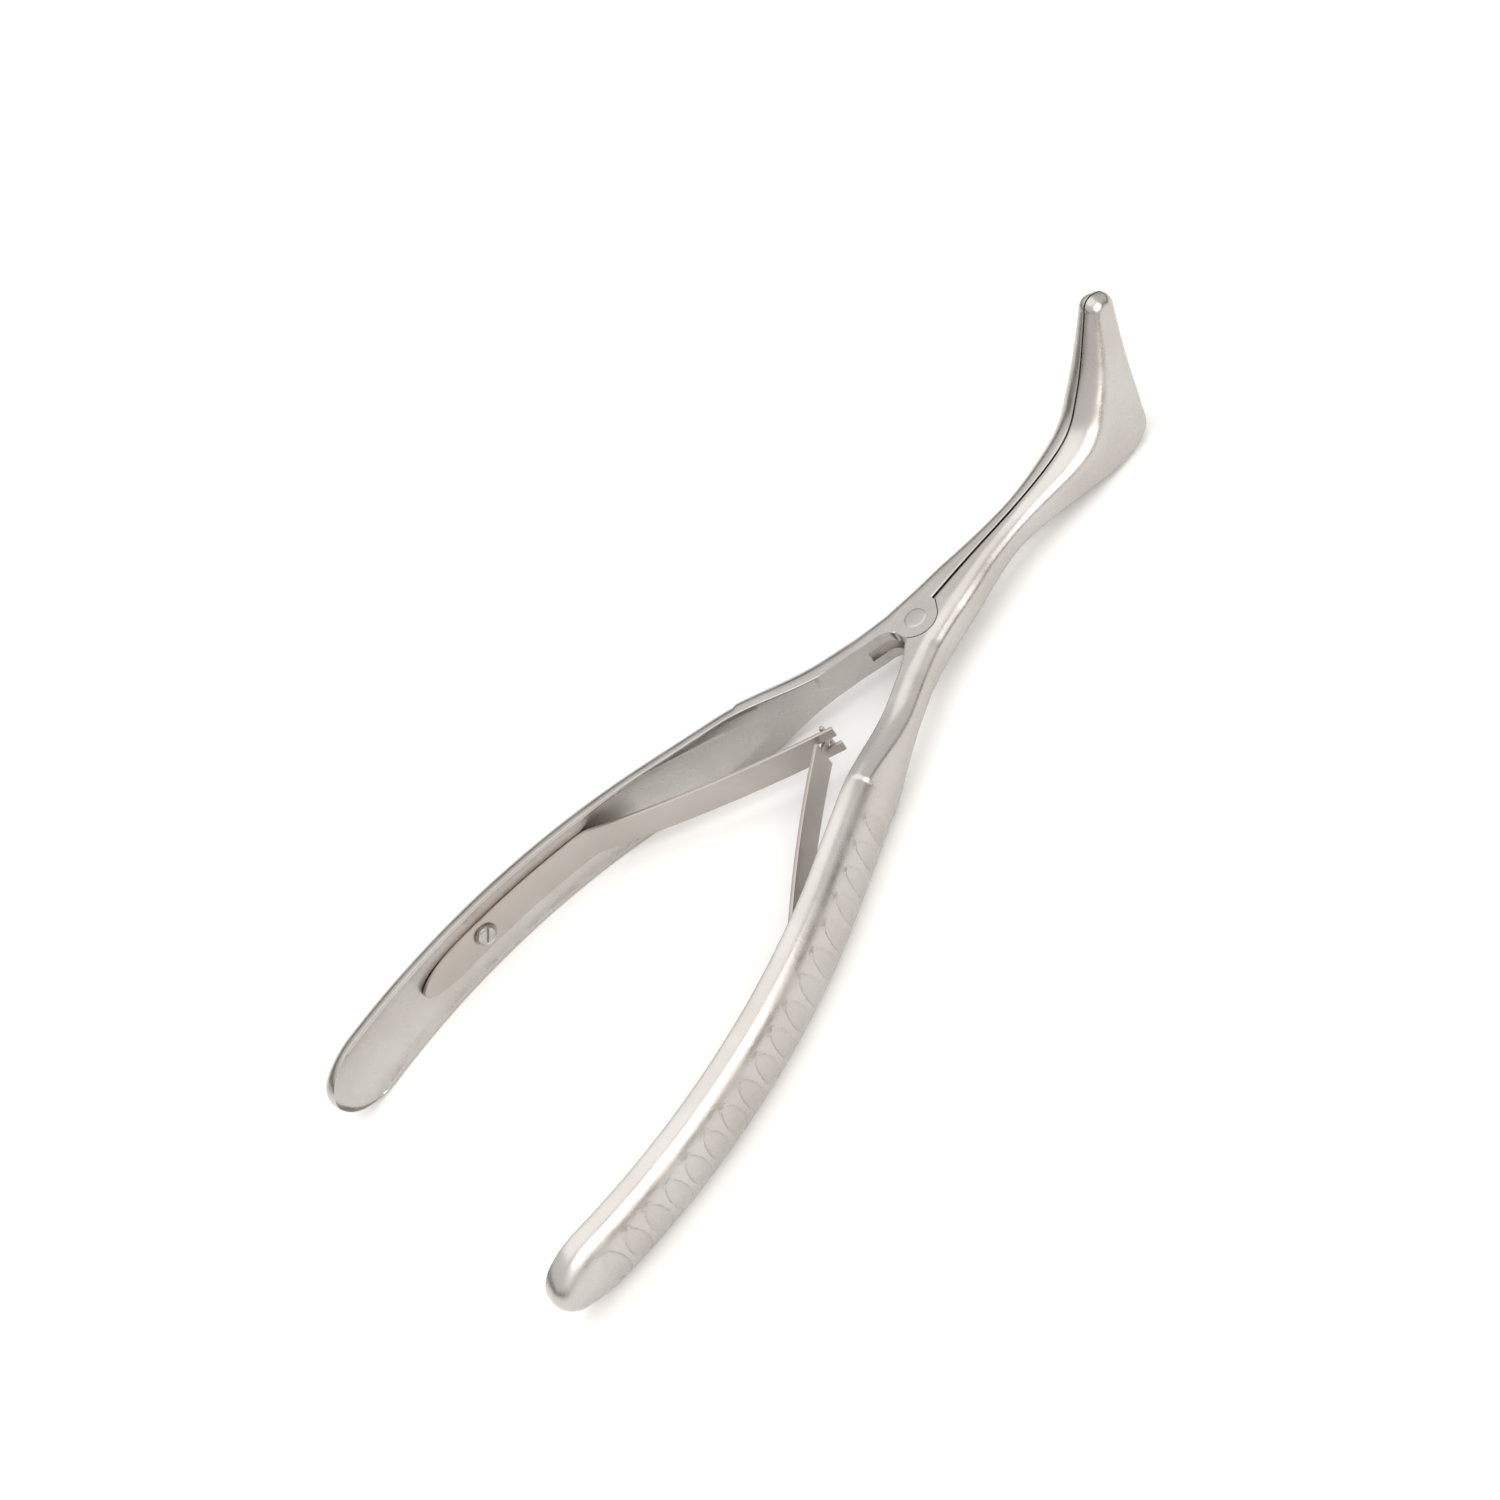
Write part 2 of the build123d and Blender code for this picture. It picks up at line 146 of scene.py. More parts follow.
def spline(rows, t):
    """A smooth curve through rows of numbers, at t rows from the first (Catmull-Rom)."""
    rows = np.asarray(rows, float)
    i = min(int(t), len(rows) - 2)
    f = t - i
    p0, p1, p2, p3 = rows[max(i - 1, 0)], rows[i], rows[i + 1], rows[min(i + 2, len(rows) - 1)]
    square = (2 * p0 - 5 * p1 + 4 * p2 - p3) * f * f
    cube = (3 * p1 - p0 - 3 * p2 + p3) * f**3
    return 0.5 * (2 * p1 + (p2 - p0) * f + square + cube)


# ---------------------------------------------------------------- one ring of the arm's skin
N_FACE, N_FILLET, N_SIDE, N_RIM, N_FLAT, N_POCKET = 7, 9, 46, 3, 4, 34


def bezier(p0, t0, p3, t3, reach, n):
    p1, p2 = p0 + t0 * reach, p3 - t3 * reach
    s = np.linspace(0, 1, n)[:, None]
    return (1 - s)**3 * p0 + 3 * (1 - s)**2 * s * p1 + 3 * (1 - s) * s * s * p2 + s**3 * p3


def line(a, b, n):
    s = np.linspace(0, 1, n + 1)[1:-1, None]
    return a * (1 - s) + b * s


def ring(h, we, wc, r_top, r_low, base, pocket, edge=0.12):
    """Points (u, v) round a section: outside from the lower inner edge over the side, then down the inside.
    pocket is (depth, middle, half length, power): a hollow in the inside face."""
    depth, mid, half, power = pocket
    bulge = max(wc - we, 1e-4)
    R = (h * h + bulge * bulge) / (2 * bulge)
    cx = wc - R
    a0 = math.asin(min(h / R, 1.0))
    # inside points, top to bottom
    if depth > 1e-3:
        v_hi = min(mid + half, h - edge * 1.5)
        th_end = math.pi
        if mid - half < -h:
            th_end = math.acos(max(-1.0, min(1.0, (-h - mid) / half)))
        th = np.linspace(0, th_end, N_POCKET)
        c, s = np.cos(th), np.sin(th)
        pv = mid + half * np.sign(c) * np.abs(c)**power
        pu = base + depth * np.abs(s)**power
        pv = np.clip(pv, -h, v_hi)
    else:
        pv = np.linspace(h * 0.8, -h * 0.8, N_POCKET)
        pu = np.full(N_POCKET, base)
    inner = np.stack([pu, pv], 1)
    low_in = np.array([pu[-1] if pv[-1] <= -h + 1e-6 else base, -h])
    top_in = np.array([base, h])
    e = np.array([edge, 0.0])
    d = np.array([0.0, edge])
    right, up = np.array([1.0, 0.0]), np.array([0.0, 1.0])
    # outside side arc, trimmed by the fillets
    t_low, t_top = min(r_low / R, a0 * 0.9), min(r_top / R, a0 * 0.9)
    ang = np.linspace(-a0 + t_low, a0 - t_top, N_SIDE)
    side = np.stack([cx + R * np.cos(ang), R * np.sin(ang)], 1)
    tan0 = np.array([-math.sin(ang[0]), math.cos(ang[0])])
    tan1 = np.array([-math.sin(ang[-1]), math.cos(ang[-1])])
    low_r = min(r_low, max(we - low_in[0] - edge * 1.5, 0.05))
    top_r = min(r_top, we - base - edge * 1.5)
    lo = np.array([we - low_r, -h])
    hi = np.array([we - top_r, h])
    k = 0.5523
    pts = [
        bezier(low_in + d, -up, low_in + e, right, edge * k, N_RIM),
        line(low_in + e, lo, N_FACE),
        bezier(lo, right, side[0], tan0, k * (low_r + r_low) / 2, N_FILLET),
        side[1:-1],
        bezier(side[-1], tan1, hi, -right, k * (top_r + r_top) / 2, N_FILLET),
        line(hi, top_in + e, N_FACE),
        bezier(top_in + e, -right, top_in - d, -up, edge * k, N_RIM),
        line(top_in - d, inner[0], N_FLAT),
        inner,
        line(inner[-1], low_in + d, N_FLAT),
    ]
    return np.concatenate(pts)


SIDE_START = N_RIM + (N_FACE - 1) + N_FILLET
SIDE_STOP = SIDE_START + N_SIDE - 2


# ---------------------------------------------------------------- the arm's skin, drawn as the right arm
def arm_rings():
    rings = []

    def place(uv, o, lean, tilt):
        u_dir = np.array([math.cos(lean), math.sin(lean), 0.0])
        v_dir = np.array([0.0, tilt[0], tilt[1]])
        rings.append(np.asarray(o, float) + uv[:, :1] * u_dir + uv[:, 1:] * v_dir)

    # grip and shank, from the free end
    ys = list(END_Y + END_LEN * (1 - np.cos(np.linspace(0.03, math.pi / 2, 34))))
    y = ys[-1]
    while y < -25.5:
        y += 0.15
        ys.append(y)
    while y < FOOT[1] - 1.2:
        y += 0.4
        ys.append(y)
    oval_ys = [OVAL_FIRST + (OVAL_LAST - OVAL_FIRST) * i / (OVALS - 1) for i in range(OVALS)]
    for y in ys:
        lean = lean_at(y)
        share = smooth((SHOULDER_Y - y) / SHOULDER_RUN)
        full, we, wc, r = [a + share * (b - a) for a, b in zip(SHANK, GRIP)]
        # the shank's flat top ends in a step where the grip's crown starts
        step = smooth((y - STEP_Y) / STEP_RUN) * smooth((SHOULDER_Y - y) / 6.0)
        we += 0.45 * step * (3.0 - we)
        h = full / 2
        d_end = y - END_Y
        if d_end < END_LEN:
            h *= math.sqrt(max(1 - (1 - d_end / END_LEN)**2, 1e-4))
        thin = math.sqrt(max(1 - (1 - min(d_end / 2.6, 1.0))**2, 0.0))
        back = 0.55 * (1 - thin)
        we, wc = back + (we - back) * (0.25 + 0.75 * thin), back + (wc - back) * (0.25 + 0.75 * thin)
        r = min(r, h * 0.8, (we - back) * 0.9)
        # dish
        dd = DISH_DEPTH * (1 - (y - BOW_Y) / DISH_RUN) if y > BOW_Y else DISH_DEPTH
        if dd > 0.01:
            half = math.sqrt(2 * DISH_R * dd - dd * dd)
            uv = ring(h, we, wc, r, r, back, (0, 0, 1, 1))
            s = np.linspace(half, -half, N_POCKET)
            start = SIDE_STOP + N_FILLET + (N_FACE - 1) + N_RIM + (N_FLAT - 1)
            lim = h - 0.2
            s = np.clip(s, -lim, lim)
            uv[start:start + N_POCKET, 1] = s
            uv[start:start + N_POCKET, 0] = back + np.sqrt(DISH_R**2 - s * s) - (DISH_R - dd)
            uv[start - (N_FLAT - 1):start, 1] = np.linspace(h - 0.12, s[0], N_FLAT + 1)[1:-1]
            end = start + N_POCKET
            uv[end:end + N_FLAT - 1, 1] = np.linspace(s[-1], -h + 0.12, N_FLAT + 1)[1:-1]
        else:
            uv = ring(h, we, wc, r, r, back, (0, 0, 1, 1))
        # ovals, ground into the crown
        for oy in oval_ys:
            a = (y - oy) / math.cos(lean)
            if abs(a) < OVAL_A * 1.15:
                v = uv[SIDE_START:SIDE_STOP, 1]
                rr = np.sqrt((a / OVAL_A)**2 + ((v + OVAL_DROP) / OVAL_B)**2)
                inside = np.clip(1 - rr**2, 0, None)
                lip = 0.05 * np.exp(-((rr - 1.04) / 0.07)**2)
                uv[SIDE_START:SIDE_STOP, 0] -= OVAL_DEPTH * inside**0.5 - lip
        place(uv, (*rim_at(y), MID), lean, (0.0, 1.0))

    # joint: the plane turns from the shank's to the neck's
    last = rim_at(ys[-1])
    joint = [
        (*last, lean_at(ys[-1]), 2.75, 3.1, 4.0, 1.9, 1.6, 0.0),
        (3.0, -6.0, math.radians(22), 2.75, 3.85, 4.38, 2.0, 1.6, 0.0),
        (1.6, -4.1, math.radians(16), 2.75, 4.75, 5.1, 2.1, 1.6, 0.0),
        (0.55, -2.0, math.radians(8), 2.75, 5.32, 5.55, 2.2, 1.6, 0.0),
        (0.22, 1.0, 0.0, 2.72, 5.3, 5.39, 2.3, 1.6, 0.03),
        (0.21, 4.5, 0.0, 2.675, 4.74, 4.8, 2.4, 1.6, 0.075),
    ]
    steps = np.arange(0.125, len(joint) - 1, 0.125)
    for t in steps:
        x, y, lean, h, we, wc, r1, r2, lift = spline(joint, t)
        place(ring(h, we, wc, r1, r2, 0.0, (0, 0, 1, 1)), (x, y, MID + lift), lean, (0.0, 1.0))

    # neck and blade
    rows = []
    for (ty, tz), (ly, lz), w, r1, r2 in BLADE:
        rows.append((ty, tz, ly, lz, w, r1, r2))
    n = len(rows) - 1
    for t in np.arange(0.0, n + 1e-6, 1 / 14):
        ty, tz, ly, lz, w, r1, r2 = spline(rows, min(t, n))
        h = math.hypot(ty - ly, tz - lz) / 2
        v_dir = ((ty - ly) / (2 * h), (tz - lz) / (2 * h))
        pocket = (0, 0, 1, 1)
        start = 6.4
        if t > start:
            open_low = 1 - smooth((t - 8.0) / 0.8)
            deep = smooth((t - start) / 1.2) * (1 - smooth((t - 12.0) / 1.0))
            top = h - WALL - 0.15
            low = -(h - WALL) * (1 - open_low) - (h + 0.8) * open_low
            top -= (1 - smooth((t - start) / 1.6)) * (h * 1.2)
            half = max((top - low) / 2, 0.05)
            pocket = ((w - WALL - HALF_SEAM) * deep, (top + low) / 2, half, 0.55)
        base = HALF_SEAM + 0.08 * (1 - smooth(t / 9))
        uv = ring(h, w, w + 0.06, min(r1, h * 0.9), min(r2, h * 0.9), base, pocket)
        o = (0, (ty + ly) / 2, MID + (tz + lz) / 2)
        place(uv, o, 0.0, v_dir)

    # rounded tip
    ty, tz, ly, lz, w, r1, r2 = rows[-1]
    h = math.hypot(ty - ly, tz - lz) / 2
    v_dir = np.array([(ty - ly) / (2 * h), (tz - lz) / (2 * h)])
    ahead = np.array([-v_dir[1], v_dir[0]])
    if ahead[1] < 0:
        ahead = -ahead
    r = 0.85 * w
    for a in np.linspace(0, math.pi / 2, 16)[1:]:
        t = w * math.sin(a)
        ww = HALF_SEAM + max(math.sqrt(max(w * w - t * t, 0.0)) - HALF_SEAM, 0.08)
        hh = h - r + math.sqrt(max(r * r - max(t - (w - r), 0.0)**2, 0.0))
        fillet = max(min(r1, ww - 0.1, hh * 0.9), 0.05)
        uv = ring(hh, ww, ww + 0.02, fillet, fillet, HALF_SEAM, (0, 0, 1, 1), edge=0.03)
        o = (0, (ty + ly) / 2 + ahead[0] * t, MID + (tz + lz) / 2 + ahead[1] * t)
        place(uv, o, 0.0, v_dir)
    return rings


def skin(name, rings, mirror=1):
    n = len(rings[0])
    co = np.concatenate(rings) * MM
    co[:, 0] *= mirror
    faces = []
    for i in range(len(rings) - 1):
        for j in range(n):
            k = (j + 1) % n
            q = (i * n + j, i * n + k, (i + 1) * n + k, (i + 1) * n + j)
            faces.append(q if mirror < 0 else q[::-1])
    first, last = tuple(range(n)), tuple((len(rings) - 1) * n + j for j in range(n))
    faces.append(first if mirror > 0 else first[::-1])
    faces.append(last[::-1] if mirror > 0 else last)
    me = bpy.data.meshes.new(name)
    me.from_pydata(co.tolist(), [], faces)
    me.validate()
    bm = bmesh.new()
    bm.from_mesh(me)
    bmesh.ops.remove_doubles(bm, verts=bm.verts, dist=2e-6)
    bmesh.ops.recalc_face_normals(bm, faces=bm.faces)
    bm.to_mesh(me)
    bm.free()
    return me


def link(name, me):
    ob = bpy.data.objects.new(name, me)
    bpy.context.scene.collection.objects.link(ob)
    return ob


def slab(name, outline, z0, z1):
    """A flat plate with this plan outline, in millimetres."""
    bm = bmesh.new()
    verts = [bm.verts.new((x * MM, y * MM, z0 * MM)) for x, y in outline]
    face = bm.faces.new(verts)
    up = bmesh.ops.extrude_face_region(bm, geom=[face])
    for v in up["geom"]:
        if isinstance(v, bmesh.types.BMVert):
            v.co.z = z1 * MM
    bmesh.ops.recalc_face_normals(bm, faces=bm.faces)
    me = bpy.data.meshes.new(name)
    bm.to_mesh(me)
    bm.free()
    return link(name, me)


def circle(x, y, r, n=96, a0=0.0, a1=2 * math.pi):
    steps = np.linspace(a0, a1, n, endpoint=a1 - a0 < 2 * math.pi - 1e-6)
    return [(x + r * math.cos(a), y + r * math.sin(a)) for a in steps]


def ear_points(grow=0.0):
    """The ear's outline: a disc with a corner towards the neck."""
    r = EAR_R + grow
    corner_r, corner_l = (0.62 + grow, 3.82 + grow), (-1.0, 4.0 + grow)
    a0 = math.atan2(2.45, 2.35)
    start = math.atan2(corner_l[1], corner_l[0]) + 0.05
    pts = circle(0, 0, r, 90, start - 2 * math.pi + 0.15, a0)
    return pts + [corner_r, corner_l]


def crotch_points():
    """The outline of the hollow between the ear and the left shank, run out along the shank's inside."""
    bed = [
        (-0.2, -3.75), (-1.08, -3.5), (-2.28, -3.78), (-3.1, -4.55), (-3.68, -5.96),
        (-4.2, -7.2), (-5.23, -9.53), (-6.35, -12.5), (-7.6, -15.9),
    ]
    curve = [tuple(spline(bed, t)) for t in np.arange(0, len(bed) - 1 + 1e-6, 0.1)]
    return curve + [(-6.5, -15.9), (-0.2, -6.0)]


def carve(ob, steps):
    """Applies boolean steps (operation, tool) and removes the tools."""
    for op, tool in steps:
        m = ob.modifiers.new("cut", "BOOLEAN")
        m.operation = op
        m.object = tool
        m.solver = "EXACT"
    dg = bpy.context.evaluated_depsgraph_get()
    me = bpy.data.meshes.new_from_object(ob.evaluated_get(dg))
    ob.modifiers.clear()
    ob.data = me
    for op, tool in steps:
        bpy.data.objects.remove(tool)


def finish_mesh(ob, angle=32):
    me = ob.data
    for p in me.polygons:
        p.use_smooth = True
    me.set_sharp_from_angle(angle=math.radians(angle))


RINGS = arm_rings()
left = link("left_arm_forging", skin("left_arm_forging", RINGS, -1))
right = link("right_arm_forging", skin("right_arm_forging", RINGS, 1))

slot_front = [(0.9, -5.4), (0.9, 3.4), (5, 3.4), (5, -5.4)]
slot_back = [(0.95, -5.2), (0.1, -2.5), (-2.6, -1.8), (-5.6, -6.7), (0, -9.2)]
carve(left, [
    ("DIFFERENCE", slab("t1", crotch_points(), -20, 20)),
    ("UNION", slab("t2", ear_points(), 0.0, 2 * MID)),
    ("DIFFERENCE", slab("t3", slot_front, MID - SLOT_HALF, MID + SLOT_HALF)),
    ("DIFFERENCE", slab("t4", circle(0, 0, SLOT_R), MID - SLOT_HALF, MID + SLOT_HALF)),
    ("DIFFERENCE", slab("t5", slot_back, MID - SLOT_HALF, MID + SLOT_HALF)),
    ("DIFFERENCE", slab("t6", circle(0, 0, PIN_HEAD_R, 96), 2 * MID - 0.5, 2 * MID + 1)),
    ("DIFFERENCE", slab("t7", circle(0, 0, PIN_HEAD_R, 96), -1, 0.5)),
])
tongue = circle(0, 0, TONGUE_R, 72)
web = [(0, 0)] + circle(0, 0, WEB_R, 40, math.radians(-50), math.radians(45))
carve(right, [
    ("DIFFERENCE", slab("t8", ear_points(GAP), -20, 20)),
    ("UNION", slab("t9", tongue, MID - TONGUE_HALF, MID + TONGUE_HALF)),
    ("UNION", slab("t10", web, MID - WEB_HALF, MID + WEB_HALF)),
    ("DIFFERENCE", slab("t11", circle(0, 0, PIN_BORE_R, 48), MID - 2, MID + 2)),
])
for ob in (left, right):
    finish_mesh(ob)


# ---------------------------------------------------------------- pin and screws
def lathe(name, profile, n=96):
    """A solid turned about Z from (radius, height) points, the first and last on the axis."""
    verts, faces = [], []
    for r, z in profile:
        for i in range(n):
            a = 2 * math.pi * i / n
            verts.append((r * math.cos(a) * MM, r * math.sin(a) * MM, z * MM))
    for k in range(len(profile) - 1):
        for i in range(n):
            j = (i + 1) % n
            faces.append((k * n + i, k * n + j, (k + 1) * n + j, (k + 1) * n + i))
    me = bpy.data.meshes.new(name)
    me.from_pydata(verts, [], faces)
    bm = bmesh.new()
    bm.from_mesh(me)
    bmesh.ops.remove_doubles(bm, verts=bm.verts, dist=1e-7)
    bmesh.ops.recalc_face_normals(bm, faces=bm.faces)
    bm.to_mesh(me)
    bm.free()
    return link(name, me)


top = 2 * MID
half_pin = [
    (0, 0.03), (0.7, 0.028), (1.3, 0.015), (1.55, 0.0), (1.62, -0.02), (1.64, -0.06), (1.3, -0.42), (1.3, -MID),
]
profile = [(r, top - 0.03 + z) for r, z in half_pin] + [(r, 0.03 - z) for r, z in half_pin[::-1][1:]]
pin = lathe("peened_pivot_pin", profile)
finish_mesh(pin)


def seat_frame(side, y, out):
    """Axes of a handle's inside at this y: up, along and into the space between the handles."""
    lean = lean_at(y)
    x, yy = rim_at(y, out)
    o = Vector((side * x, yy, MID))
    z = Vector((-side * math.cos(lean), -math.sin(lean), 0))
    along = Vector((-side * math.sin(lean), math.cos(lean), 0))
    return o, Vector((0, 0, 1)), along, z


def screw(name, side, turn):
    head = [
        (0, 0.86), (0.7, 0.84), (1.15, 0.78), (1.36, 0.68), (1.44, 0.55), (1.45, 0.3), (1.45, 0.0),
        (0.9, -0.02), (0.9, -2.5), (0.7, -2.6), (0, -2.6),
    ]
    ob = lathe(name, head, 72)
    slot = slab("slot", [(-3, -0.23), (3, -0.23), (3, 0.23), (-3, 0.23)], 0.42, 3)
    carve(ob, [("DIFFERENCE", slot)])
    o, up, along, z = seat_frame(side, SCREW_Y, LEAF_SEAT + 0.3)
    c, s = math.cos(turn), math.sin(turn)
    ax = up * c + along * s
    ay = z.cross(ax)
    co = np.array([v.co for v in ob.data.vertices])
    axes = np.array([ax, ay, z])
    co = np.asarray(o) * MM + co @ axes
    ob.data.vertices.foreach_set("co", co.astype(np.float32).ravel())
    ob.data.update()
    finish_mesh(ob)
    return ob


screw_l = screw("left_slotted_screw", -1, math.radians(37))
screw_r = screw("right_slotted_screw", 1, math.radians(-64))


# ---------------------------------------------------------------- leaf springs
def leaf_path():
    """Point, heading and length along the leaf's middle line, as a function of length from its foot."""
    pieces = []
    a0, a1 = lean_at(LEAF_FOOT), lean_at(LEAF_LIFT)
    r0 = BOW_R + LEAF_MID
    root = r0 * (a1 - a0)

    def clamped(s):
        a = a0 + s / r0
        return (BOW_C[0] + r0 * math.cos(a), BOW_C[1] + r0 * math.sin(a)), a

    pieces.append((root, clamped))
    p, head = pieces[0][1](root)
    bend = BEND_R * BEND

    def arc(p, head, r):
        cx, cy = p[0] - r * math.cos(head), p[1] - r * math.sin(head)
        return lambda s: ((cx + r * math.cos(head + s / r), cy + r * math.sin(head + s / r)), head + s / r)

    pieces.append((bend, arc(p, head, BEND_R)))
    p, head = pieces[1][1](bend)
    dx, dy = -p[0], HOOK_Y - p[1]
    chord, aim = math.hypot(dx, dy), math.atan2(-dx, dy)
    turn = 2 * (aim - head)
    r2 = chord / (2 * math.sin(turn / 2))
    pieces.append((r2 * turn, arc(p, head, r2)))
    p, head = pieces[2][1](r2 * turn)
    end, end_head = p, head
    pieces.append((10.0, lambda s: ((end[0] - s * math.sin(end_head), end[1] + s * math.cos(end_head)), end_head)))

    def at(s):
        for length, f in pieces:
            if s <= length or f is pieces[-1][1]:
                return f(s)
            s -= length

    return at, root, root + bend + abs(r2 * turn)


# a cell's neighbours, and the corners of the side it shares with each
CELL_SIDES = (
    ((-1, 0), ((0, 0), (0, 1))),
    ((1, 0), ((1, 1), (1, 0))),
    ((0, -1), ((1, 0), (0, 0))),
    ((0, 1), ((0, 1), (1, 1))),
)


def leaf(name, side, hooked):
    at, lift, cross = leaf_path()
    s_screw = (BOW_R + LEAF_MID) * (lean_at(SCREW_Y) - lean_at(LEAF_FOOT))
    s_lines = list(9.0 * (1 - np.cos(np.linspace(0, math.pi / 2, 40))))
    s_lines += list(np.arange(9.2, s_screw + 3, 0.2))
    s_lines += list(np.arange(s_screw + 3.2, lift + 4, 0.4))
    w2 = LEAF_W / 2
    if hooked:
        marks = [cross - NECK_START, cross + NECK_END, cross + HEAD_END]
        v_marks = [-w2, -HEAD_HALF, -NECK_HALF, NECK_HALF, HEAD_HALF, w2]
        def kept(s, v):
            if s < marks[0]:
                return True
            if s < marks[1]:
                return abs(v) < NECK_HALF
            return s < marks[2] and abs(v) < HEAD_HALF
    else:
        marks = [cross - FORK_START, cross + FORK_REACH]
        v_marks = [-w2, -FORK_HALF, FORK_HALF, w2]
        def kept(s, v):
            return s < marks[1] and not (s > marks[0] and abs(v) < FORK_HALF)
    s = s_lines[-1]
    while s + 0.9 < marks[0]:
        s += 0.6
        s_lines.append(s)
    stops = [s_lines[-1]] + marks
    for a, b in zip(stops, stops[1:]):
        k = max(2, round((b - a) / 0.4))
        s_lines += [a + (b - a) * i / k for i in range(1, k + 1)]
    v_lines = []
    for a, b in zip(v_marks, v_marks[1:]):
        k = max(1, round((b - a) / 0.22))
        v_lines += [a + (b - a) * i / k for i in range(k)]
    v_lines.append(w2)
    bm = bmesh.new()
    index = {}

    def vert(i, j, layer):
        key = (i, j, layer)
        if key not in index:
            s, v = s_lines[i], v_lines[j]
            index[key] = bm.verts.new((s, v, layer * LEAF_T / 2))
        return index[key]

    cells = {(i, j) for i in range(len(s_lines) - 1) for j in range(len(v_lines) - 1)
             if kept((s_lines[i] + s_lines[i + 1]) / 2, (v_lines[j] + v_lines[j + 1]) / 2)}
    for i, j in sorted(cells):
        for layer in (-1, 1):
            q = [vert(i, j, layer), vert(i + 1, j, layer), vert(i + 1, j + 1, layer), vert(i, j + 1, layer)]
            bm.faces.new(q if layer > 0 else q[::-1])
        for (di, dj), (a, b) in CELL_SIDES:
            if (i + di, j + dj) not in cells:
                p, q = (i + a[0], j + a[1]), (i + b[0], j + b[1])
                bm.faces.new([vert(*p, -1), vert(*p, 1), vert(*q, 1), vert(*q, -1)])
    bmesh.ops.recalc_face_normals(bm, faces=bm.faces)
    sharp = [e for e in bm.edges if len(e.link_faces) == 2 and e.calc_face_angle(0) > 1.0]
    bmesh.ops.bevel(bm, geom=sharp, offset=0.09, segments=2, profile=0.6, affect="EDGES")
    r_mid = BOW_R + LEAF_MID
    foot = r_mid * (lean_at(FOOT_START) - lean_at(LEAF_FOOT))
    for v in bm.verts:
        s, t, n = v.co
        # the foot narrows in a half ellipse
        if s < foot:
            t *= math.sqrt(max(1 - (1 - max(s, 0.0) / foot)**2, 0.0004))
        # countersink round the screw, on the inner face
        d = math.hypot(s - s_screw, t)
        if n > 0 and d < SINK_R:
            n -= SINK * smooth((SINK_R - d) / SINK_RUN)
        (x, y), head = at(s)
        # n > 0 is towards the space between the handles
        v.co = (side * (x - n * math.cos(head)) * MM, (y - n * math.sin(head)) * MM, (MID + t) * MM)
    bmesh.ops.recalc_face_normals(bm, faces=bm.faces)
    me = bpy.data.meshes.new(name)
    bm.to_mesh(me)
    bm.free()
    ob = link(name, me)
    finish_mesh(ob, 40)
    return ob, at, lift


fork, PATH, LIFT_S = leaf("left_forked_leaf_spring", -1, False)
hook, _, _ = leaf("right_hooked_leaf_spring", 1, True)

